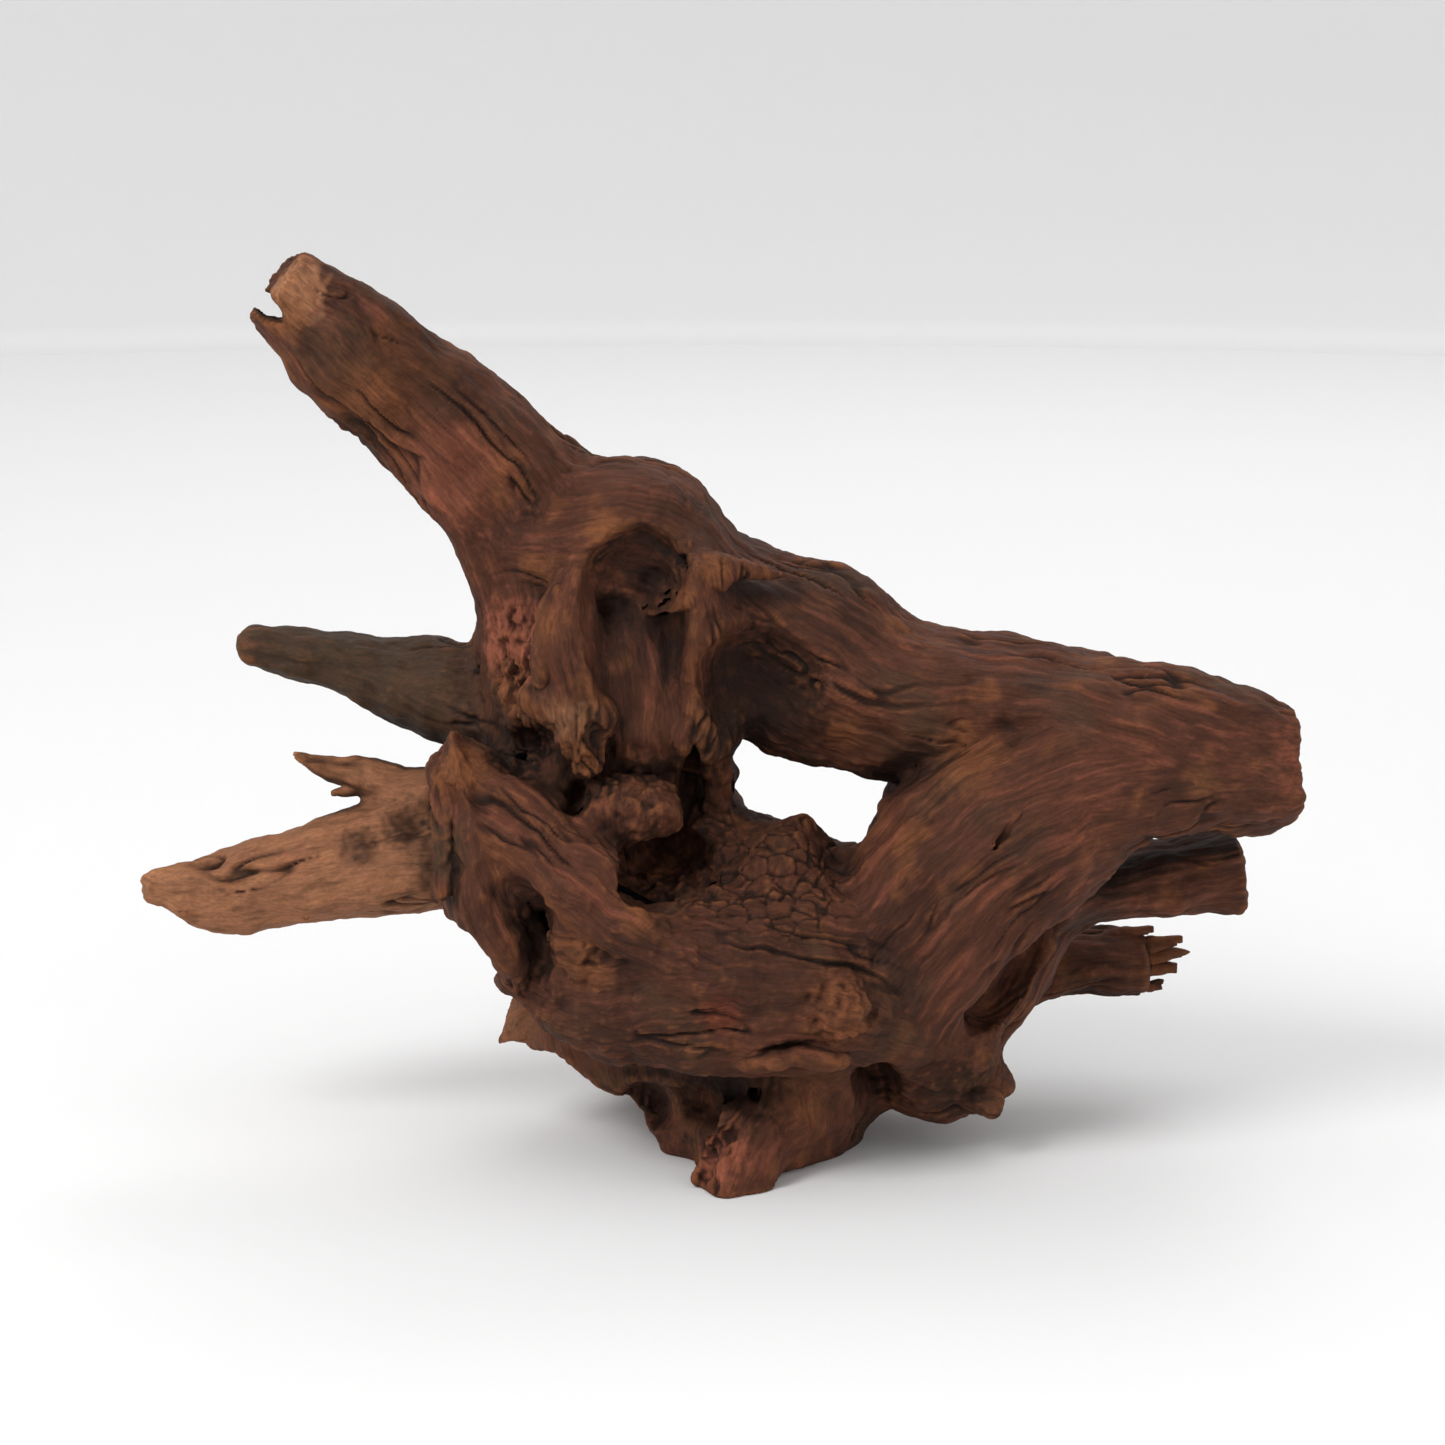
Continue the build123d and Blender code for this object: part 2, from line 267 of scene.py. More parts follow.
def oval(centre, radii, turn=(0.0, 0.0, 0.0)):
    """An ellipsoid, turned by degrees about X, then Y, then Z."""
    centre, radii = np.array(centre, float), np.array(radii, float)
    turned = turning(turn)

    def distance(points):
        local = (points - centre) @ turned
        ratio = np.linalg.norm(local / radii, axis=1)
        slope = np.linalg.norm(local / radii**2, axis=1)
        return ratio * (ratio - 1) / np.maximum(slope, 1e-6)

    return distance, centre - radii.max(), centre + radii.max()


def turning(degrees):
    """The matrix that turns a body about X, then Y, then Z."""
    a, b, c = (math.radians(value) for value in degrees)
    about_x = np.array([[1, 0, 0], [0, math.cos(a), -math.sin(a)], [0, math.sin(a), math.cos(a)]])
    about_y = np.array([[math.cos(b), 0, math.sin(b)], [0, 1, 0], [-math.sin(b), 0, math.cos(b)]])
    about_z = np.array([[math.cos(c), -math.sin(c), 0], [math.sin(c), math.cos(c), 0], [0, 0, 1]])
    return about_z @ about_y @ about_x


ROOTS = {
    "stump_core": Root([
        (-48, 1, 178, 37, 38), (-44, 1, 156, 40, 44), (-41, 3, 130, 40, 48),
        (-36, 3, 105, 43, 50), (-21, -1, 82, 54, 52), (-8, -6, 56, 62, 50),
    ]),
    "base_trunk": Root([
        (-2, -6, 70, 60, 50), (5, -7, 50, 58, 52), (11, -7, 22, 50, 52),
        (11, -5, 4, 42, 46), (11, -4, -8, 34, 42),
    ]),
    "shoulder_arch": Root([
        (-29, 7, 187, 22, 28), (-8, 5, 191, 23, 33), (26, -3, 175, 34, 40),
        (60, -9, 160, 28, 35), (81, -9, 157, 22, 31),
    ], lobes=0.03),
    "upper_left_limb": Root([
        (-149, -37, 306, 14, 14), (-127, -30, 286, 20, 19), (-90, -17, 251, 24, 24),
        (-63, -5, 214, 30, 31), (-52, -3, 165, 30, 36),
    ], cut_start=True),
    "right_arm": Root([
        (62, -9, 159, 21, 30), (108, -13, 157, 23, 32), (156, -21, 145, 28, 33),
        (192, -25, 140, 22, 27), (202, -25, 140, 17, 22),
    ], end=0.25),
    "front_root": Root([
        (43, -25, 48, 26, 38), (59, -31, 72, 32, 40), (96, -37, 114, 34, 34),
        (122, -35, 128, 30, 30), (150, -31, 133, 23, 25),
    ], lobes=0.03),
    "knuckle_burl": Root([
        (-53, -11, 216, 23, 30), (-26, -18, 217, 24, 34), (-3, -7, 198, 17, 28),
    ]),
    "rear_brace_root": Root([
        (-30, 27, 154, 22, 28), (-23, 45, 121, 21, 28), (-12, 53, 89, 22, 28),
        (3, 40, 40, 24, 30),
    ]),
    "rear_right_root": Root([
        (79, 7, 152, 17, 22), (78, 17, 123, 19, 26), (70, 24, 86, 22, 28),
        (50, 22, 48, 25, 30),
    ]),
    "belly_root": Root([
        (-66, -35, 70, 10, 20), (-45, -47, 67, 21, 28), (-18, -55, 70, 28, 32),
        (13, -55, 70, 31, 34), (41, -47, 64, 28, 32), (62, -35, 54, 18, 24),
    ]),
    "diagonal_root": Root([
        (-84, -35, 132, 12, 20), (-66, -48, 121, 15, 24), (-28, -59, 94, 16, 28),
        (-6, -57, 84, 16, 28),
    ]),
    "cracked_lump": Root([
        (24, -15, 112, 11, 17), (22, -22, 101, 20, 28), (18, -37, 77, 24, 32),
    ]),
    "left_loop_root": Root([
        (-91, -31, 146, 4, 12), (-88, -37, 134, 8, 18), (-83, -46, 104, 15, 26),
        (-76, -45, 86, 14, 26),
    ], start=0.3),
    "long_left_root": Root([
        (-202, -20, 94, 5, 6), (-179, -15, 92, 12, 12), (-125, -7, 99, 19, 21),
        (-68, -5, 107, 23, 28),
    ], start=0.3),
    "dark_stub_root": Root([
        (-167, 13, 174, 6, 9), (-143, 14, 169, 10, 14), (-104, 15, 158, 17, 23),
        (-76, 13, 153, 20, 27),
    ], lobes=0.03, start=0.5),
    "front_foot_root": Root([
        (26, -22, 24, 14, 18), (16, -39, 19, 15, 24), (8, -55, 9, 14, 22),
        (3, -66, -5, 13, 18),
    ]),
    "rear_foot_root": Root([
        (-8, 27, 38, 26, 30), (-12, 47, 14, 22, 28), (-19, 73, -18, 14, 20),
    ]),
    "lower_right_burl": Root([
        (44, -13, 32, 15, 28), (63, -17, 31, 15, 29), (80, -21, 27, 17, 26),
        (91, -23, 25, 12, 19), (97, -23, 23, 6, 12),
    ], end=0.4),
    "rim_root": Root([
        (111, -11, 90, 12, 20), (109, -8, 72, 11, 21), (100, -12, 54, 11, 22),
        (87, -16, 42, 13, 24),
    ]),
    "lower_right_prong": Root([
        (90, -15, 88, 16, 26), (116, -9, 89, 13, 24), (142, -3, 90, 12, 20),
        (182, 3, 94, 15, 16),
    ], end=0.2),
    "splintered_root": Root([
        (60, 26, 38, 12, 20), (114, 37, 48, 13, 18), (153, 43, 49, 12, 13),
    ], lobes=0.03, end=0.2),
    "ridge_fin": Root([
        (-9, -47, 209, 4, 10), (-7, -43, 196, 8, 14), (-6, -35, 178, 11, 18),
        (-8, -27, 155, 12, 20),
    ]),
    "upright_fin": Root([
        (-51, -47, 206, 5, 8), (-53, -49, 196, 9, 12), (-49, -44, 166, 10, 14),
    ]),
    "forked_splinter": Root([
        (-150, -1, 136, 1, 3), (-132, -2, 130, 5, 6), (-92, -5, 121, 9, 12),
    ], lobes=0.0),
    "left_shard": Root([
        (-78, -11, 36, 1, 3), (-72, -11, 41, 6, 7), (-43, -11, 49, 12, 16),
    ], lobes=0.0),
}
NAMES = list(ROOTS)


def add_details():
    """Lips, splinters and lumps that belong to single roots."""
    ROOTS["ridge_fin"].grow(
        spike((-24, -49, 199), (-13, -54, 202), 3.0, 3.5),
        spike((-13, -53, 202), (-10, -53, 211), 3.5, 4.0),
        oval((-5, -50, 210), (8, 5, 5), (0, 15, 0)),
        spike((-2, -49, 212), (20, -38, 208), 3.5, 2.0),
    )
    ROOTS["upright_fin"].grow(
        oval((-58, -55, 190), (4, 6, 17), (0, 10, 0)),
        oval((-48, -56, 182), (4, 6, 16), (0, -12, 0)),
    )
    ROOTS["stump_core"].grow(
        oval((-29, -50, 129), (21, 13, 9.5), (0, 8, 0)),
        oval((-31, -36, 166), (17, 13, 32), (0, 4, 0)),
        spike((-2, -34, 165), (-2, -24, 126), 6.0, 5.0),
        spike((-62, -46, 166), (-44, -52, 162), 5.0, 7.5),
        oval((-48, -52, 151), (7, 9, 11), (0, -10, 0)),
    )
    ROOTS["long_left_root"].grow(
        spike((-165, -22, 88), (-190, -25, 85), 2.5, 0.5),
        spike((-140, -20, 90), (-146, -24, 83), 3.0, 0.5),
        spike((-185, -18, 97), (-203, -22, 96), 4.0, 2.2),
    )
    ROOTS["forked_splinter"].grow(
        spike((-118, -4, 127), (-137, -6, 124), 4.0, 0.6),
        spike((-128, -4, 130), (-150, -4, 136), 3.2, 0.6),
    )
    ROOTS["splintered_root"].grow(
        spike((138, 38, 58), (158, 38, 63), 3.4, 0.5),
        spike((144, 38, 55), (169, 38, 58), 3.4, 0.5),
        spike((144, 40, 50), (172, 40, 53), 3.2, 0.5),
        spike((144, 40, 46), (167, 41, 47), 3.4, 0.5),
        spike((144, 40, 41), (162, 40, 41), 3.6, 0.6),
        spike((144, 48, 50), (166, 50, 52), 5.0, 0.6),
    )
    ROOTS["left_loop_root"].grow(
        spike((-94, -60, 137), (-95, -66, 104), 3.0, 4.0),
        spike((-88, -54, 135), (-84, -60, 118), 4.0, 6.0),
    )
    ROOTS["belly_root"].grow(
        oval((38, -78, 68), (13, 9, 11)),
        oval((20, -78, 49), (22, 8, 4)),
        oval((-46, -70, 84), (11, 8, 16), (0, -15, 0)),
        oval((-2, -78, 80), (16, 9, 8), (0, 20, 0)),
    )
    ROOTS["front_foot_root"].grow(
        spike((24, -50, 20), (-2, -66, 21), 9.0, 8.0),
        spike((2, -62, 10), (-8, -69, 3), 5.5, 2.5),
        spike((4, -62, 12), (6, -71, 8), 5.5, 1.5),
    )
    ROOTS["lower_right_burl"].grow(
        spike((84, -36, 24), (93, -44, 20), 7.0, 4.0),
        spike((78, -42, 40), (90, -44, 38), 7.0, 5.0),
        oval((75, -38, 41), (21, 15, 20), (0, 10, 0)),
    )


add_details()

# Hollows: a body to cut away, and how softly its rim is worn
HOLLOWS = [
    (oval((-24, -50, 108.5), (21, 34, 12.5), (8, 0, 0)), 3.0),  # pit
    (oval((-27, -62, 19), (15, 34, 13)), 3.0),  # under the belly root
    (oval((-12, -60, 24), (14, 17, 9)), 2.0),
    (oval((-68, -52, 149), (11, 24, 10)), 1.5),  # rotten hole
    (oval((-49, -50, 132), (5, 12, 6), (0, 20, 0)), 2.0),  # slot beside it
    (oval((-12, -38, 132), (4.5, 20, 20), (0, 8, 0)), 1.5),  # slot up to the arch
    (oval((28, 0, 123), (26, 75, 12.5), (-12, 3, 0)), 3.0),  # arch
    (oval((43, 0, 118), (11, 75, 13), (-12, 0, 0)), 3.0),
    (oval((-28, -55, 212), (17, 17, 17)), 3.0),  # under the knuckle's brow
    (oval((-24, -46, 206), (8, 10, 7)), 2.0),
    (oval((-41, -60, 189), (4, 12, 15)), 2.0),  # beside the upright fin
    (oval((-67, -60, 186), (4, 12, 14), (0, 12, 0)), 2.0),
    (oval((13, -50, 171), (22, 21, 23), (0, 30, 0)), 4.0),  # under the shoulder
    (oval((-64, -74, 84), (5, 15, 20), (0, -8, 0)), 5.0),  # valley right of the loop
    (oval((25, -88, 54), (17, 9, 2)), 1.0),  # gap under the belly
    (oval((54, -54, 27), (9, 22, 19), (0, -15, 0)), 4.0),  # right of the base
    (oval((103.5, -46, 69.5), (27, 24, 13), (0, -46, 0)), 1.5),  # lens behind the rim
    (oval((153, -38, 111), (24, 22, 8), (0, -10, 0)), 2.0),  # under the arm
    (oval((186, -46, 106), (26, 30, 11.5)), 2.0),  # lower edge of the arm
    (oval((-152, -42, 299), (7, 30, 4), (0, 30, 0)), 1.0),  # notch in the limb's end
    (spike((-152, -30, 105), (-124, -26, 115), 3.0, 6.0), 2.0),  # trough in the left root
    (spike((-124, -26, 115), (-98, -24, 124), 6.0, 8.0), 2.0),
    (spike((108, -66, 143), (102, -68, 133), 1.2, 1.8), 1.0),  # fold in the front root
    (spike((102, -68, 133), (87, -69, 112), 1.8, 1.0), 1.0),
    (spike((141, -56, 161), (157, -56, 155), 0.9, 1.4), 0.6),  # wrinkles in the arm
    (spike((128, -54, 168), (176, -50, 163), 1.2, 0.8), 0.6),
    (spike((-36, -50, 219), (-35, -42, 198), 1.5, 2.2), 0.8),  # crack in the knuckle
    (spike((-113, -3, 171), (-84, -8, 168), 0.9, 1.5), 0.5),  # crack in the stub
    (spike((20, -92, 84), (22, -90, 62), 1.2, 1.8), 0.8),  # crack in the belly
    (oval((76, -28, 1), (24, 60, 12)), 3.0),  # under the burl
    (oval((-45, -10, 6), (34, 60, 19), (0, 51, 0)), 3.0),  # left of the base
    (oval((217, -25, 145), (21, 60, 46)), 2.0),  # worn end of the arm
    (oval((-89, -45, 77), (14, 50, 14)), 3.0),  # below the loop
]

# Knots left standing in the hollows, over the ends of dowels
KNOTS = [spike((22, -27, 107), (25.8, -33.0, 114.8), 8.0, 6.3)]
KNOT_BLEND = 4.0

# The pockets through which the screws were driven: the head's middle and the direction driven
POCKET_RADIUS = 5.5
POCKET_LENGTH = 36.0
SCREWS = [
    ((-17, 72, 92), (-0.1, -1, 0)),
    ((-27, 64, 134), (-0.1, -1, 0)),
    ((-18, 72, 22), (0.2, -0.98, 0)),
    ((76, 44, 102), (-0.1, -1, 0)),
    ((20, -8, 20), (0, 0, 1)),
    ((-14, 6, 12), (0, 0, 1)),
]
CRISP = 0.3                 # the rim of a drilled hole
DRILLED = [(spike((11, -80, 31), (11, -48, 31), 2.0, 2.0), CRISP)]      # beetle gallery
for head, driven in SCREWS:
    head, driven = np.array(head, float), np.array(driven, float)
    mouth = head - POCKET_LENGTH * driven / np.linalg.norm(driven)
    DRILLED.append((spike(mouth, head, POCKET_RADIUS, POCKET_RADIUS), CRISP))

GNARLED_MIDDLE = np.array((-25.0, -50.0, 88.0))
GNARLED_RADIUS = 62.0
BENDS = [(17.0, 0.0, 1.2), (6.5, 9.0, 0.44)]    # length, shift and size of the roots' bends


def ruggedness(points):
    """1 on the smooth limbs, up to 3 around the pit and the belly, where the wood is knotted."""
    reach = ((points - GNARLED_MIDDLE) ** 2).sum(axis=1) / GNARLED_RADIUS**2
    return 1 + 2 * np.exp(-reach)


def near_box(points, low, high, reach):
    """Which of the points lie in a box or near it."""
    return np.flatnonzero(np.all((points > low - reach) & (points < high + reach), axis=1))


def soft_max(first, second, softness):
    """The larger of two distances, with the crease between them filled softly."""
    gap = np.maximum(softness - np.abs(first - second), 0.0) / softness
    return np.maximum(first, second) + gap * gap * softness * 0.25


def carve(field, points, hollows):
    """Cuts hollows out of the wood."""
    for (body, low, high), softness in hollows:
        near = near_box(points, low, high, softness)
        if len(near):
            field[near] = soft_max(field[near], -body(points[near]), softness)


def wood(straight, with_places=False):
    """The wood's distance field, and on request each root's own distance and place."""
    points = straight + ruggedness(straight)[:, None] * sum(
        size * wander(straight / length + shift) for length, shift, size in BENDS
    )
    total = np.zeros(len(points))
    distances = np.full((len(NAMES), len(points)), FAR, np.float32) if with_places else None
    places = {}
    for number, name in enumerate(NAMES):
        root = ROOTS[name]
        near = near_box(points, root.low, root.high, REACH)
        if not len(near):
            continue
        distance, place = root.measure(points[near])
        for extra in root.extras:
            distance = np.minimum(distance, extra(points[near]))
        total[near] += np.exp(-np.clip(distance, -40, FAR) / BLEND)
        if with_places:
            distances[number, near] = distance
            places[name] = (near, place)
    field = -BLEND * np.log(np.maximum(total, math.exp(-FAR / BLEND)))
    carve(field, points, HOLLOWS)
    carve(field, straight, DRILLED)
    for body, low, high in KNOTS:
        near = near_box(points, low, high, REACH)
        field[near] = -soft_max(-field[near], -body(points[near]), KNOT_BLEND)
    field = np.maximum(field, -straight[:, 2])
    return (field, distances, places) if with_places else field


# --- Skin ---
def at_corner(grid, corner):
    """The values at one corner of every cell of a grid."""
    return grid[tuple(slice(k, size - 1 + k) for k, size in zip(corner, grid.shape))]


def sculpt_grid():
    """The field on a fine grid, worked out only near the skin."""
    low = np.min([root.low for root in ROOTS.values()], axis=0) - SPARE
    high = np.max([root.high for root in ROOTS.values()], axis=0) + SPARE
    low[2] = -3 * FINE_STEP
    coarse_step = FINE_STEP * COARSE_CELLS
    coarse_count = np.ceil((high - low) / coarse_step).astype(int) + 1
    axes = [low[k] + coarse_step * np.arange(coarse_count[k]) for k in range(3)]
    coarse_points = np.stack(np.meshgrid(*axes, indexing="ij"), axis=-1).reshape(-1, 3)
    coarse = wood(coarse_points).reshape(coarse_count)
    cell_corners = [at_corner(coarse, corner) for corner in CORNERS]
    margin = 0.9 * coarse_step
    busy = (np.min(cell_corners, axis=0) < margin) & (np.max(cell_corners, axis=0) > -margin)

    fine = np.full((coarse_count - 1) * COARSE_CELLS + 1, FAR, np.float32)
    block = np.where(coarse[:-1, :-1, :-1] < 0, -FAR, FAR).astype(np.float32)
    for axis in range(3):
        block = np.repeat(block, COARSE_CELLS, axis)
    fine[:-1, :-1, :-1] = block
    del block
    wanted = np.zeros(fine.shape, bool)
    cells = np.argwhere(busy) * COARSE_CELLS
    for step in itertools.product(range(COARSE_CELLS + 1), repeat=3):
        wanted[tuple((cells + step).T)] = True
    index = np.argwhere(wanted)
    for start in range(0, len(index), 5 * BATCH):
        part = index[start:start + 5 * BATCH]
        fine[tuple(part.T)] = wood(low + part * FINE_STEP)
    return low, fine


def skin_of(low, field):
    """Points and four-sided faces of the surface where the field is zero."""
    inside = field < 0
    count = np.array(field.shape) - 1
    some = np.zeros(count, bool)
    every = np.ones(count, bool)
    for corner in CORNERS:
        part = at_corner(inside, corner)
        some |= part
        every &= part
    cells = np.argwhere(some & ~every)
    number = np.full(count, -1, np.int32)
    number[tuple(cells.T)] = np.arange(len(cells))

    offsets = np.array(CORNERS)
    corners = cells[:, None, :] + offsets
    values = field[corners[..., 0], corners[..., 1], corners[..., 2]].astype(np.float64)
    values = np.clip(values, -2 * FINE_STEP, 2 * FINE_STEP)
    crossing_sum = np.zeros((len(cells), 3))
    crossing_count = np.zeros(len(cells))
    for a, b in itertools.combinations(range(len(CORNERS)), 2):
        if np.abs(offsets[a] - offsets[b]).sum() != 1:
            continue
        crosses = (values[:, a] < 0) != (values[:, b] < 0)
        t = values[:, a] / np.where(crosses, values[:, a] - values[:, b], 1.0)
        spot = offsets[a] + t[:, None] * (offsets[b] - offsets[a])
        crossing_sum += np.where(crosses[:, None], spot, 0.0)
        crossing_count += crosses
    points = low + (cells + crossing_sum / crossing_count[:, None]) * FINE_STEP

    faces = []
    for axis in range(3):
        other = [k for k in range(3) if k != axis]
        first = [slice(None)] * 3
        second = [slice(None)] * 3
        first[axis], second[axis] = slice(0, -1), slice(1, None)
        starts = inside[tuple(first)]
        ends = inside[tuple(second)]
        edges = np.argwhere(starts != ends)
        whole = np.all((edges[:, other] > 0) & (edges[:, other] < count[other]), axis=1)
        edges = edges[whole]
        outward = starts[tuple(edges.T)]
        ring = []
        for step_a, step_b in ((0, 0), (1, 0), (1, 1), (0, 1)):
            cell = edges.copy()
            cell[:, other[0]] -= 1 - step_a
            cell[:, other[1]] -= 1 - step_b
            ring.append(number[tuple(cell.T)])
        quads = np.stack(ring, axis=1)
        flip = outward if axis == 1 else ~outward
        quads[flip] = quads[flip][:, ::-1]
        faces.append(quads)
    return points, np.concatenate(faces)


def normals_of(points, faces):
    """The direction in which the skin faces at each point."""
    corners = points[faces]
    face_normals = np.cross(corners[:, 2] - corners[:, 0], corners[:, 3] - corners[:, 1])
    normals = np.zeros_like(points)
    for k in range(3):
        for corner in range(4):
            normals[:, k] += np.bincount(faces[:, corner], face_normals[:, k], len(points))
    return normals / np.maximum(np.linalg.norm(normals, axis=1, keepdims=True), 1e-9)


def smoothed(values, faces, rounds):
    """Values averaged with their neighbours on the skin."""
    ring = np.roll(faces, -1, axis=1)
    start = np.concatenate([faces.ravel(), ring.ravel()])
    end = np.concatenate([ring.ravel(), faces.ravel()])
    weight = np.bincount(start, minlength=len(values))
    columns = values.reshape(len(values), -1)
    for _ in range(rounds):
        mean = np.stack(
            [np.bincount(start, column[end], len(values)) / weight for column in columns.T], axis=1
        )
        columns = 0.5 * columns + 0.5 * mean
    return columns.reshape(values.shape)


def edges_of(faces):
    """Every side of every face: where it starts, where it ends, and its face."""
    start = faces.ravel()
    end = np.roll(faces, -1, axis=1).ravel()
    owner = np.repeat(np.arange(len(faces)), 4)
    return start, end, owner


def neighbours_of(faces, point_count):
    """Pairs of faces that share a side."""
    start, end, owner = edges_of(faces)
    key = np.minimum(start, end).astype(np.int64) * point_count + np.maximum(start, end)
    order = np.argsort(key, kind="stable")
    key, owner = key[order], owner[order]
    same = key[1:] == key[:-1]
    return owner[:-1][same], owner[1:][same]


def islands_of(pairs, count, labels=None):
    """A number for each face, the same for all faces that hang together."""
    first, second = pairs
    if labels is not None:
        alike = labels[first] == labels[second]
        first, second = first[alike], second[alike]
    island = np.arange(count)
    while True:
        before = island.copy()
        lowest = np.minimum(island[first], island[second])
        np.minimum.at(island, first, lowest)
        np.minimum.at(island, second, lowest)
        island = island[island]
        island = island[island]
        if np.array_equal(before, island):
            return island


def main_skin(points, faces):
    """The largest connected skin, without closed bubbles inside the wood."""
    island = islands_of(neighbours_of(faces, len(points)), len(faces))
    largest = np.bincount(island).argmax()
    faces = faces[island == largest]
    used = np.unique(faces)
    renumber = np.full(len(points), -1)
    renumber[used] = np.arange(len(used))
    return points[used], renumber[faces]


SMALLEST_ISLAND = 400       # faces; smaller patches of a root join the root around them
JOINING_ROUNDS = 6


def labels_of(points, faces, distances):
    """The root that each face belongs to."""
    smooth = smoothed(distances.T, faces, 4)
    labels = np.argmin(smooth[faces].sum(axis=1), axis=1)
    pairs = neighbours_of(faces, len(points))
    for _ in range(JOINING_ROUNDS):
        island = islands_of(pairs, len(faces), labels)
        size = np.bincount(island, minlength=len(faces))[island]
        small = size < SMALLEST_ISLAND
        if not small.any():
            break
        first = np.concatenate(pairs)
        second = np.concatenate(pairs[::-1])
        rim = small[first] & (labels[first] != labels[second]) & (size[second] >= SMALLEST_ISLAND)
        choice = np.full(len(faces), -1)
        choice[island[first[rim]]] = labels[second[rim]]
        change = small & (choice[island] >= 0)
        labels = np.where(change, choice[island], labels)
    return labels


# --- Grain, cracks, colour, painted shade and highlights ---
def srgb(red, green, blue):
    """A colour's linear values from its screen values, 0 to 255."""
    value = np.array((red, green, blue)) / 255.0
    return np.where(value <= 0.04045, value / 12.92, ((value + 0.055) / 1.055) ** 2.4)


MID_BROWN = srgb(80, 46, 32)
DARK_BROWN = srgb(40, 24, 17)
OCHRE = srgb(122, 74, 43)
SALMON = srgb(140, 80, 60)
RUST = srgb(104, 48, 32)
OLIVE = srgb(58, 48, 35)
TAN = srgb(156, 107, 76)
# near-black, for dark wood and for painted shade
NEAR_BLACK_AND_SHADE = srgb(22, 14, 10)

TINT_BLEND = 6.0            # how softly the colours of two roots run together
# Which colour each root leans to, and how strongly
LEANINGS = {
    "long_left_root": (TAN, 0.68),
    "forked_splinter": (TAN, 0.7),
    "left_shard": (TAN, 0.5),
    "dark_stub_root": (OLIVE, 0.75),
    "front_foot_root": (SALMON, 0.1),
    "cracked_lump": (DARK_BROWN, 0.5),
    "splintered_root": (DARK_BROWN, 0.3),
}

# Patches, some of them painted shade in hollows: middle, radius, colour, strength of the colour, and
# depth of the crumbling
PATCHES = [
    ((-70, -34, 181), 19, SALMON, 0.85, 2.4),  # crumbling patch at the limb's foot
    ((-72, -36, 168), 12, OCHRE, 0.6, 2.0),
    ((-144, -48, 306), 14, TAN, 0.9, 0.5),  # cut end of the limb
    ((-146, -48, 296), 9, OCHRE, 0.6, 0.0),
    ((-117, -45, 268), 22, OCHRE, 0.45, 0.0),
    ((-130, -45, 285), 16, OLIVE, 0.35, 0.0),
    ((-96, -40, 243), 22, SALMON, 0.3, 0.0),
    ((-128, -28, 112), 9, DARK_BROWN, 0.75, 0.0),  # trough in the left root, with painted shade in it
    ((-112, -26, 119), 11, DARK_BROWN, 0.85, 0.0),
    ((-98, -26, 122), 11, NEAR_BLACK_AND_SHADE, 0.8, 0.6),
    ((-150, -30, 108), 10, SALMON, 0.4, 0.0),
    ((-98, -38, 280), 24, DARK_BROWN, 0.5, 0.0),
    ((-122, -31, 256), 12, NEAR_BLACK_AND_SHADE, 0.7, 1.0),
    ((-41, -50, 228), 9, OCHRE, 0.6, 0.0),  # brow of the knuckle
    # painted shade in the recess under the knuckle's brow
    ((-28, -40, 211), 16, NEAR_BLACK_AND_SHADE, 0.5, 0.0),
    ((-4, -52, 212), 7, OCHRE, 0.6, 0.0),  # lip of the ridge
    ((-15, -54, 202), 6, OCHRE, 0.5, 0.0),
    ((-58, -56, 194), 9, OCHRE, 0.5, 0.5),  # upright fin
    ((13, -34, 168), 24, DARK_BROWN, 0.6, 0.0),  # under the shoulder, painted shade
    ((-51, -56, 160), 11, TAN, 0.35, 1.0),
    ((-48, -60, 150), 11, OCHRE, 0.35, 1.8),
    ((-90, -50, 141), 12, OCHRE, 0.65, 0.8),  # bark of the loop
    ((-94, -62, 118), 12, OLIVE, 0.6, 0.8),
    ((-31, -50, 132), 15, DARK_BROWN, 0.35, 1.8),  # roof of the pit
    # painted shade under the shoulder
    ((14, -34, 160), 27, NEAR_BLACK_AND_SHADE, 0.65, 0.0),
    ((-10, -40, 225), 16, DARK_BROWN, 0.5, 0.0),
    ((35, -40, 195), 26, DARK_BROWN, 0.35, 0.0),
    ((10, -80, 85), 26, DARK_BROWN, 0.4, 0.0),
    # painted shade in the pit
    ((-22, -42, 110), 17, NEAR_BLACK_AND_SHADE, 0.75, 1.5),
    # painted shade in the rotten hole
    ((-68, -42, 149), 13, NEAR_BLACK_AND_SHADE, 0.9, 1.5),
    ((40, -84, 67), 15, OCHRE, 0.25, 1.8),  # knot on the belly
    ((0, -88, 68), 8, RUST, 0.6, 0.5),
    ((-46, -74, 84), 13, OCHRE, 0.35, 1.0),
    ((-2, -60, 27), 12, NEAR_BLACK_AND_SHADE, 0.7, 0.5),  # foot
    ((-2, -70, 11), 13, SALMON, 0.85, 1.8),
    ((25, -60, 36), 17, OCHRE, 0.35, 0.0),
    ((104, -40, 72), 17, DARK_BROWN, 0.4, 0.0),  # lens behind the rim, painted shade in the hollow
    ((195, -40, 143), 15, SALMON, 0.35, 0.5),  # end of the arm
    ((170, -20, 172), 22, OLIVE, 0.4, 0.0),
    ((84, -50, 146), 14, OCHRE, 0.4, 0.0),
    ((75, -45, 32), 18, DARK_BROWN, 0.5, 1.2),
    ((-197, -24, 95), 10, TAN, 0.6, 0.4),
]


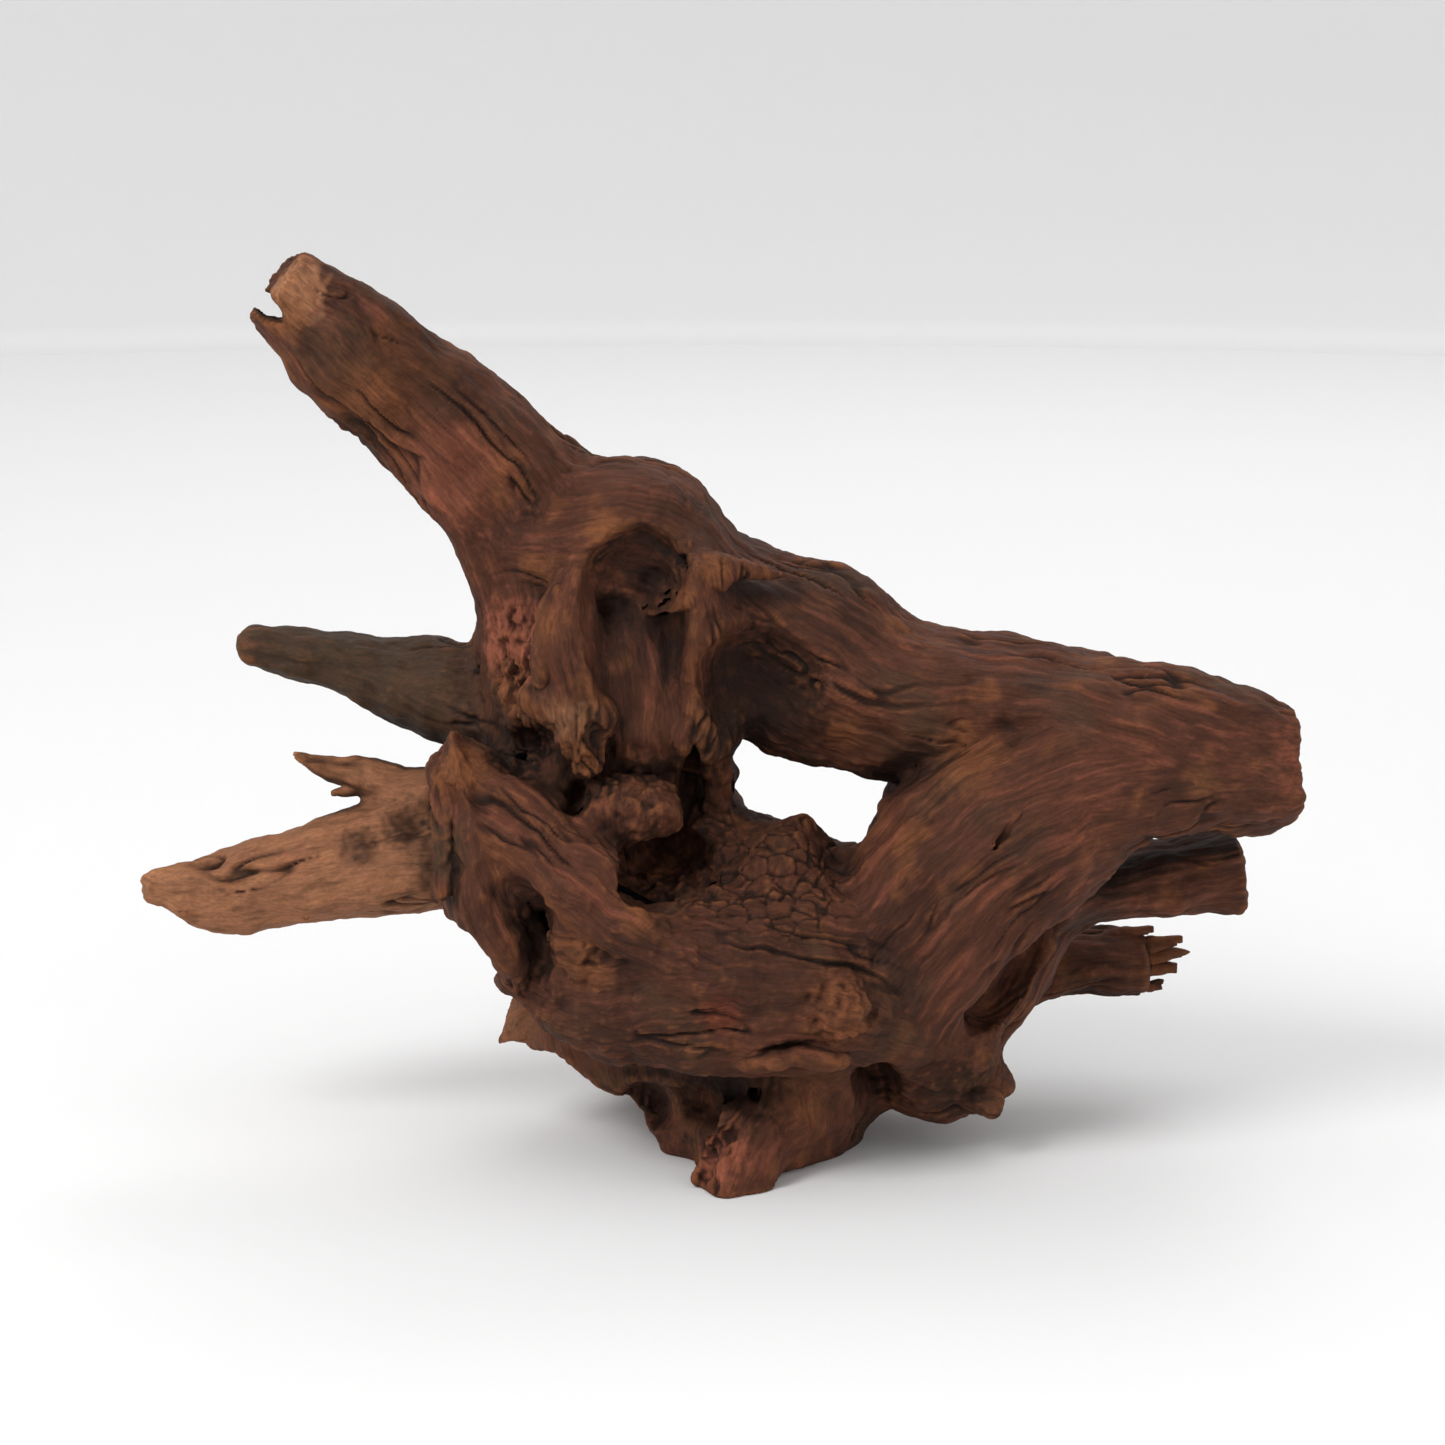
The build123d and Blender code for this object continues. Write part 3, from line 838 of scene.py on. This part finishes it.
# The dark patch below the arch that is checked into small cubes
CHECKED_MIDDLE = np.array((17.0, -58.0, 106.0))
CHECKED_RADIUS = 30.0
CHECKED_CUBE = (8.0, 8.0, 6.0)
CHECKED_DEPTH = 0.9

# Relief along the grain: how far each kind stands out
WAVY = np.array((0.0, 2.2, 2.2))        # how far the grain strays sideways
FLUTE_HEIGHT = 0.55
FIBRE_HEIGHT = 0.38
CRACK_DEPTH = 1.7

# Relief that follows no grain
LUMP_HEIGHT = 2.0
BUMP_HEIGHT = 0.7
KNOB_HEIGHT = 0.22
ROUGH_HEIGHT = 0.3

LEAST_SHARE = 0.03          # a root with less than this share in a point leaves no grain there


def along_grain(place, length, width, shift):
    """Places measured in strands of this length and width."""
    return place / (length, width, width) + shift


def within(points, middle, radius, ragged, low, high):
    """1 inside a ball and 0 outside, with a ragged rim between two shares of its radius."""
    reach = np.linalg.norm(points - middle, axis=1) / radius
    return 1 - ramp(reach + ragged, low, high)


def detail(points, distances, places):
    """How far each point of the skin moves out, and the values that colour it."""
    share = np.exp(-(distances - distances.min(axis=0)) / BLEND)
    total = share.sum(axis=0)
    lift, streak, crack = np.zeros((3, len(points)))
    for number, name in enumerate(NAMES):
        near, place = places[name]
        weight = share[number, near] / total[near]
        busy = weight > LEAST_SHARE
        near, place, weight = near[busy], place[busy], weight[busy]
        shift = 11.7 * number
        place = place + WAVY * wander(points[near] / 21.0 + 3)
        flute = 1 - 2 * np.abs(noise(along_grain(place, 60.0, 9.0, shift)))
        fibre = layered(along_grain(place, 28.0, 2.6, shift + 3), 2, 0.6)
        check = np.abs(noise(along_grain(place, 34.0, 6.0, shift + 5)))
        where = ramp(noise(along_grain(place, 50.0, 20.0, shift + 7)), 0.1, 0.55)
        groove = (1 - ramp(check, 0.02, 0.17)) * where
        lift[near] += weight * (FLUTE_HEIGHT * flute + FIBRE_HEIGHT * fibre - CRACK_DEPTH * groove)
        streak[near] += weight * layered(along_grain(place, 55.0, 3.4, shift + 9), 3, 0.6)
        crack[near] += weight * groove
    knobs = 1 - 2.2 * np.abs(noise(points / 8.0 + 5))
    lift += LUMP_HEIGHT * layered(points / 36.0, 3) + BUMP_HEIGHT * layered(points / 12.0 + 5, 3)
    gnarled = KNOB_HEIGHT * knobs + ROUGH_HEIGHT * layered(points / 3.6 + 8, 2)
    lift += (ruggedness(points) - 0.7) * gnarled
    mottled = layered(points / 3.0 + 50, 2)
    crumbs = layered(points / 5.0 + 9, 3) - 0.4
    for centre, radius, _, _, depth in PATCHES:
        lift += depth * within(points, centre, radius, 0.25 * mottled, 0.6, 1.1) * crumbs
    cubes = within(points, CHECKED_MIDDLE, CHECKED_RADIUS, 0.2 * mottled, 0.6, 1.1)
    checked = np.flatnonzero(cubes > 0.02)
    bent = points[checked] + 1.5 * wander(points[checked] / 6.0)
    first, second = scattered(bent / CHECKED_CUBE)
    gap = (1 - ramp(second - first, 0.015, 0.11)) * cubes[checked]
    lift[checked] -= CHECKED_DEPTH * gap
    crack[checked] = np.maximum(crack[checked], gap)
    return lift, streak, crack, mottled


def mixed(base, colour, amount):
    """Colours moved towards another colour, 0 not at all, 1 all the way."""
    return base + (colour - base) * amount[:, None]


def painted_hollow_shade_of(points, normals):
    """0 where the wood is open to the air, towards 1 in hollows and clefts, where shade is painted
    into the colour.
    """
    hollow_shade = np.zeros(len(points))
    for reach in (7.0, 18.0):
        gap = wood(points + normals * reach) / reach
        hollow_shade += 0.5 * np.clip(1 - gap, 0.0, 1.0)
    return hollow_shade


def tint_of(points, faces, normals, distances, streak, crack, mottled):
    """The wood's colour at each point of the skin, with painted shade in hollows, creases and cracks
    and a painted highlight on ridges.
    """
    hollow_shade = painted_hollow_shade_of(points, normals)
    sunk = ((smoothed(points, faces, 10) - points) * normals).sum(axis=1)
    broad = layered(points / 48.0 + 31, 3)
    patchy = layered(points / 17.0 + 77, 3)
    mossy = layered(points / 30.0 + 121, 2)
    tint = np.tile(MID_BROWN, (len(points), 1))
    tint = mixed(tint, DARK_BROWN, 0.55 * ramp(-broad, -0.1, 0.7))
    tint = mixed(tint, OCHRE, 0.5 * ramp(patchy, 0.15, 0.9))
    tint = mixed(tint, SALMON, 0.36 * ramp(streak, 0.1, 0.9))
    tint = mixed(tint, OLIVE, 0.4 * ramp(mossy, 0.2, 0.8))
    share = np.exp(-(distances - distances.min(axis=0)) / TINT_BLEND)
    share /= share.sum(axis=0)
    for name, (colour, amount) in LEANINGS.items():
        tint = mixed(tint, colour, amount * share[NAMES.index(name)])
    for centre, radius, colour, amount, _ in PATCHES:
        tint = mixed(tint, colour, amount * within(points, centre, radius, 0.3 * mottled, 0.55, 1.15))
    # painted highlight: lighter on the ridges
    tint = mixed(tint, OCHRE, 0.5 * ramp(-sunk, 0.1, 0.6))
    tint = mixed(tint, DARK_BROWN, 0.5 * ramp(-streak, 0.2, 0.9))
    # painted shade: darker in the creases
    tint = mixed(tint, NEAR_BLACK_AND_SHADE, 0.8 * ramp(sunk, 0.1, 0.9))
    # painted shade: darker in the hollows and clefts
    tint = mixed(tint, NEAR_BLACK_AND_SHADE, 0.75 * ramp(hollow_shade, 0.12, 0.75))
    # painted shade in the cracks
    tint = mixed(tint, NEAR_BLACK_AND_SHADE, 0.85 * crack)
    return np.clip(tint, 0.0, 1.0)


# --- Pieces ---
INWARD = 0.8                # how far a cut side goes in towards the root's middle line
LOWEST_INSIDE = 6.0         # the inner end of a cut side stays above the ground


def piece_mesh(name, points, faces, normals, tint, grain):
    """One root's part of the skin, closed on the inside."""
    start, end, _ = edges_of(faces)
    key = start.astype(np.int64) * len(points) + end
    back = end.astype(np.int64) * len(points) + start
    open_side = ~np.isin(back, key)
    start, end = start[open_side], end[open_side]

    used = np.unique(faces)
    renumber = np.full(len(points), -1)
    renumber[used] = np.arange(len(used))
    rim = np.unique(start)
    rim_number = np.full(len(points), -1)
    rim_number[rim] = np.arange(len(rim))
    axis = ROOTS[name].axis_at(grain[rim, 0])
    axis[:, 2] = np.maximum(axis[:, 2], LOWEST_INSIDE)
    inner = points[rim] + INWARD * (axis - points[rim])

    around = islands_of((rim_number[start], rim_number[end]), len(rim))
    loop = np.unique(around, return_inverse=True)[1]
    size = np.bincount(loop)
    apex = np.stack([np.bincount(loop, axis[:, k]) / size for k in range(3)], axis=1)

    inner_start = len(used) + rim_number[start]
    inner_end = len(used) + rim_number[end]
    apex_start = len(used) + len(rim) + loop[rim_number[start]]
    sides = np.stack([renumber[end], renumber[start], inner_start, inner_end], axis=1)
    fans = np.stack([inner_end, inner_start, apex_start], axis=1)
    corners = np.concatenate([points[used], inner, apex]) * MM
    polygons = [*renumber[faces].tolist(), *sides.tolist(), *fans.tolist()]

    mesh = bpy.data.meshes.new(name + "_skin")
    mesh.from_pydata(corners.tolist(), [], polygons)
    mesh.shade_smooth()
    fill = len(inner) + len(apex)
    facing = np.concatenate([normals[used], np.tile((0.0, 0.0, 1.0), (fill, 1))])
    mesh.normals_split_custom_set_from_vertices(facing.tolist())
    colour = np.concatenate([tint[used], np.tile(DARK_BROWN, (fill, 1))])
    colour = np.concatenate([colour, np.ones((len(colour), 1))], axis=1)
    mesh.attributes.new("tint", "FLOAT_COLOR", "POINT").data.foreach_set("color", colour.ravel())
    place = np.concatenate([grain[used], np.zeros((fill, 3))])
    mesh.attributes.new("grain", "FLOAT_VECTOR", "POINT").data.foreach_set("vector", place.ravel())
    mesh.update()
    return mesh


# --- Materials ---
def new_material(name):
    """A material, its node tree and its shader."""
    material = bpy.data.materials.new(name)
    material.use_nodes = True
    tree = material.node_tree
    return material, tree, tree.nodes["Principled BSDF"]


def fill_in(tree, node, inputs):
    """Sets the inputs of a node, or links them to other nodes' outputs."""
    for socket, value in inputs.items():
        if isinstance(value, bpy.types.NodeSocket):
            tree.links.new(value, node.inputs[socket])
        else:
            node.inputs[socket].default_value = value


def added(tree, kind, inputs, operation=None):
    """A new shader node."""
    node = tree.nodes.new("ShaderNode" + kind)
    if operation:
        node.operation = operation
    fill_in(tree, node, inputs)
    return node


def noise_node(tree, vector, stretch, detail=4.0, rough=0.6):
    """Noise over a vector that is scaled by stretch."""
    place = added(tree, "Mapping", {"Vector": vector, "Scale": stretch}).outputs["Vector"]
    inputs = {"Vector": place, "Scale": 1.0, "Detail": detail, "Roughness": rough}
    return added(tree, "TexNoise", inputs).outputs["Fac"]


def ranged(tree, value, to_low, to_high, low=0.3, high=0.7):
    """A value brought from one range to another, by default from the range of noise."""
    inputs = {"Value": value, "From Min": low, "From Max": high, "To Min": to_low, "To Max": to_high}
    return added(tree, "MapRange", inputs).outputs["Result"]


def calculated(tree, operation, first, second):
    return added(tree, "Math", {0: first, 1: second}, operation).outputs["Value"]


def scaled_colour(tree, colour, factor):
    return added(tree, "VectorMath", {"Vector": colour, "Scale": factor}, "SCALE").outputs["Vector"]


def root_wood(name, contrast, bump, rough_low, rough_high):
    """Weathered root wood: the tint of the skin, with fibres, pores and stains over it."""
    material, tree, shader = new_material(name)
    attributes = []
    for attribute in ("tint", "grain"):
        node = tree.nodes.new("ShaderNodeAttribute")
        node.attribute_name = attribute
        attributes.append(node)
    tint = attributes[0].outputs["Color"]
    place = attributes[1].outputs["Vector"]
    fibre = noise_node(tree, place, (0.045, 0.9, 0.9), 5.0, 0.65)
    streak = noise_node(tree, place, (0.018, 0.28, 0.28))
    speck = noise_node(tree, place, (0.5, 0.9, 0.9), 3.0, 0.7)
    flake = noise_node(tree, place, (0.22, 0.3, 0.3), 6.0, 0.75)

    light_fibre = ranged(tree, fibre, 1 - contrast, 1 + contrast)
    light_streak = ranged(tree, streak, 1 - 0.8 * contrast, 1 + 0.8 * contrast)
    light_speck = ranged(tree, speck, 0.85, 1.15, low=0.35)
    shade = calculated(tree, "MULTIPLY", light_fibre, light_streak)
    shade = calculated(tree, "MULTIPLY", shade, light_speck)

    fine_relief = calculated(tree, "MULTIPLY", speck, 0.3)
    flaky_relief = calculated(tree, "MULTIPLY", flake, 0.6)
    relief = calculated(tree, "ADD", fine_relief, flaky_relief)
    relief = calculated(tree, "ADD", calculated(tree, "MULTIPLY", fibre, 0.6), relief)
    raised = added(tree, "Bump", {"Strength": 0.9, "Distance": bump * MM, "Height": relief})
    fill_in(tree, shader, {
        "Base Color": scaled_colour(tree, tint, shade),
        "Roughness": ranged(tree, streak, rough_low, rough_high),
        "Specular IOR Level": 0.15,
        "Normal": raised.outputs["Normal"],
    })
    return material


def turned_wood(name, colour, stretch):
    """Clean turned wood, for the dowels and pins."""
    material, tree, shader = new_material(name)
    space = tree.nodes.new("ShaderNodeTexCoord").outputs["Object"]
    grain = noise_node(tree, space, stretch, 5.0)
    base = tree.nodes.new("ShaderNodeRGB").outputs["Color"]
    base.default_value = (*colour, 1.0)
    fill_in(tree, shader, {
        "Base Color": scaled_colour(tree, base, ranged(tree, grain, 0.75, 1.15)),
        "Roughness": ranged(tree, grain, 0.5, 0.7),
    })
    return material


def brushed_steel(name):
    """Lightly brushed stainless steel, for the screws."""
    material, tree, shader = new_material(name)
    space = tree.nodes.new("ShaderNodeTexCoord").outputs["Object"]
    brush = noise_node(tree, space, (3000.0, 400.0, 3000.0), 3.0)
    fill_in(tree, shader, {
        "Base Color": (0.62, 0.62, 0.60, 1.0),
        "Metallic": 1.0,
        "Roughness": ranged(tree, brush, 0.25, 0.42),
    })
    return material


# --- Building the stump ---
FLAT_FOOT = 0.3             # below this height the skin stays flat on the ground
FREE_HEIGHT = 4.0           # above this height the relief is at its full depth

low, field = sculpt_grid()
points, faces = skin_of(low, field)
del field
points, faces = main_skin(points, faces)
normals = normals_of(points, faces)
_, distances, places = wood(points, with_places=True)
face_labels = labels_of(points, faces, distances)
lift, streak, crack, mottled = detail(points, distances, places)
lift = lift * ramp(points[:, 2], FLAT_FOOT, FREE_HEIGHT)
points = points + normals * lift[:, None]
points[:, 2] = np.maximum(points[:, 2], 0.0)
normals = normals_of(points, faces)
tint = tint_of(points, faces, normals, distances, streak, crack, mottled)

# Contrast of the grain, height of the fine relief in millimetres, and roughness from and to
WOOD_LOOKS = {
    "red_root_wood": (0.32, 0.8, 0.62, 0.88),
    "checked_root_wood": (0.22, 0.5, 0.7, 0.92),
    "pale_root_wood": (0.26, 0.5, 0.62, 0.85),
    "dark_root_wood": (0.2, 0.35, 0.55, 0.8),
    "torn_pink_wood": (0.25, 0.6, 0.7, 0.92),
    "splintered_root_wood": (0.3, 0.6, 0.66, 0.9),
}
WOODS = {slot: root_wood(slot, *look) for slot, look in WOOD_LOOKS.items()}
SLOTS = {entry["node"]: entry["material_slot"] for entry in frame["record"]["subparts"]}

for number, name in enumerate(NAMES):
    near, place = places[name]
    grain = np.zeros((len(points), 3))
    grain[near] = place
    own = faces[face_labels == number]
    if not len(own):
        raise ValueError(f"no skin is left for {name}")
    mesh = piece_mesh(name, points, own, normals, tint, grain)
    mesh.materials.append(WOODS[SLOTS[name]])
    piece = bpy.data.objects.new(name + "_skin", mesh)
    bpy.context.scene.collection.objects.link(piece)
    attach(piece, "root")
    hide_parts(name)

FASTENERS = {
    "oak_dowels": turned_wood("dowel_oak", srgb(176, 138, 94), (400.0, 400.0, 60.0)),
    "bamboo_pins": turned_wood("pin_bamboo", srgb(198, 172, 120), (900.0, 900.0, 80.0)),
    "steel_screws": brushed_steel("screw_steel"),
}
for name, material in FASTENERS.items():
    fastener = frame["nodes"][name]
    fastener.data.materials.clear()
    fastener.data.materials.append(material)


# --- Stage ---
def studio_bowl(radius=2.6, wall=4.5, height=4.0, rings=16, sides=96):
    """A pale floor that curves up into a wall all round."""
    profile = [(0.0, 0.0), (radius, 0.0)]
    bend = wall - radius
    for step in range(1, rings + 1):
        angle = 0.5 * math.pi * step / rings
        profile.append((radius + bend * math.sin(angle), bend * (1 - math.cos(angle))))
    profile.append((wall, height))
    corners = []
    for distance, rise in profile[1:]:
        for side in range(sides):
            turn = 2 * math.pi * side / sides
            corners.append((distance * math.cos(turn), distance * math.sin(turn), rise))
    polygons = [list(range(sides))]
    for first in range(0, (len(profile) - 2) * sides, sides):
        second = first + sides
        for side in range(sides):
            after = (side + 1) % sides
            polygons.append([first + side, first + after, second + after, second + side])
    mesh = bpy.data.meshes.new("studio_floor")
    mesh.from_pydata(corners, [], polygons)
    mesh.shade_smooth()
    mesh.polygons[0].use_smooth = False
    material, _, shader = new_material("studio_pale")
    shader.inputs["Base Color"].default_value = (0.82, 0.82, 0.82, 1.0)
    shader.inputs["Roughness"].default_value = 0.9
    mesh.materials.append(material)
    floor = bpy.data.objects.new("studio_floor", mesh)
    bpy.context.scene.collection.objects.link(floor)


def soft_light(name, spot, size, watts):
    """A round lamp that shines on the stump."""
    light = bpy.data.lights.new(name, "AREA")
    light.shape = "DISK"
    light.size = size
    light.energy = watts
    lamp = bpy.data.objects.new(name, light)
    lamp.location = spot
    lamp.rotation_euler = (LIT_POINT - Vector(spot)).to_track_quat("-Z", "Y").to_euler()
    bpy.context.scene.collection.objects.link(lamp)


studio_bowl()
LIT_POINT = Vector((0.0, 0.0, 0.15))
soft_light("key", (-1.3, -1.4, 1.8), 1.1, 34.0)
soft_light("fill", (1.8, -1.6, 1.0), 1.6, 6.0)
soft_light("back", (0.6, 1.8, 2.0), 1.4, 12.0)
world = bpy.data.worlds.new("studio_air")
world.use_nodes = True
air = world.node_tree.nodes["Background"]
fill_in(world.node_tree, air, {"Color": (1.0, 1.0, 1.0, 1.0), "Strength": 0.9})
bpy.context.scene.world = world
bpy.context.scene.view_settings.view_transform = "Standard"

camera_data = bpy.data.cameras.new("camera")
camera_data.lens = CAMERA_LENS
camera_data.sensor_width = SENSOR_WIDTH
camera = bpy.data.objects.new("camera", camera_data)
target = Vector(CAMERA_TARGET) * MM
looking = Vector((0.0, math.cos(CAMERA_ELEVATION), -math.sin(CAMERA_ELEVATION)))
camera.location = target - looking * CAMERA_DISTANCE * MM
camera.rotation_euler = looking.to_track_quat("-Z", "Y").to_euler()
bpy.context.scene.collection.objects.link(camera)
bpy.context.scene.camera = camera
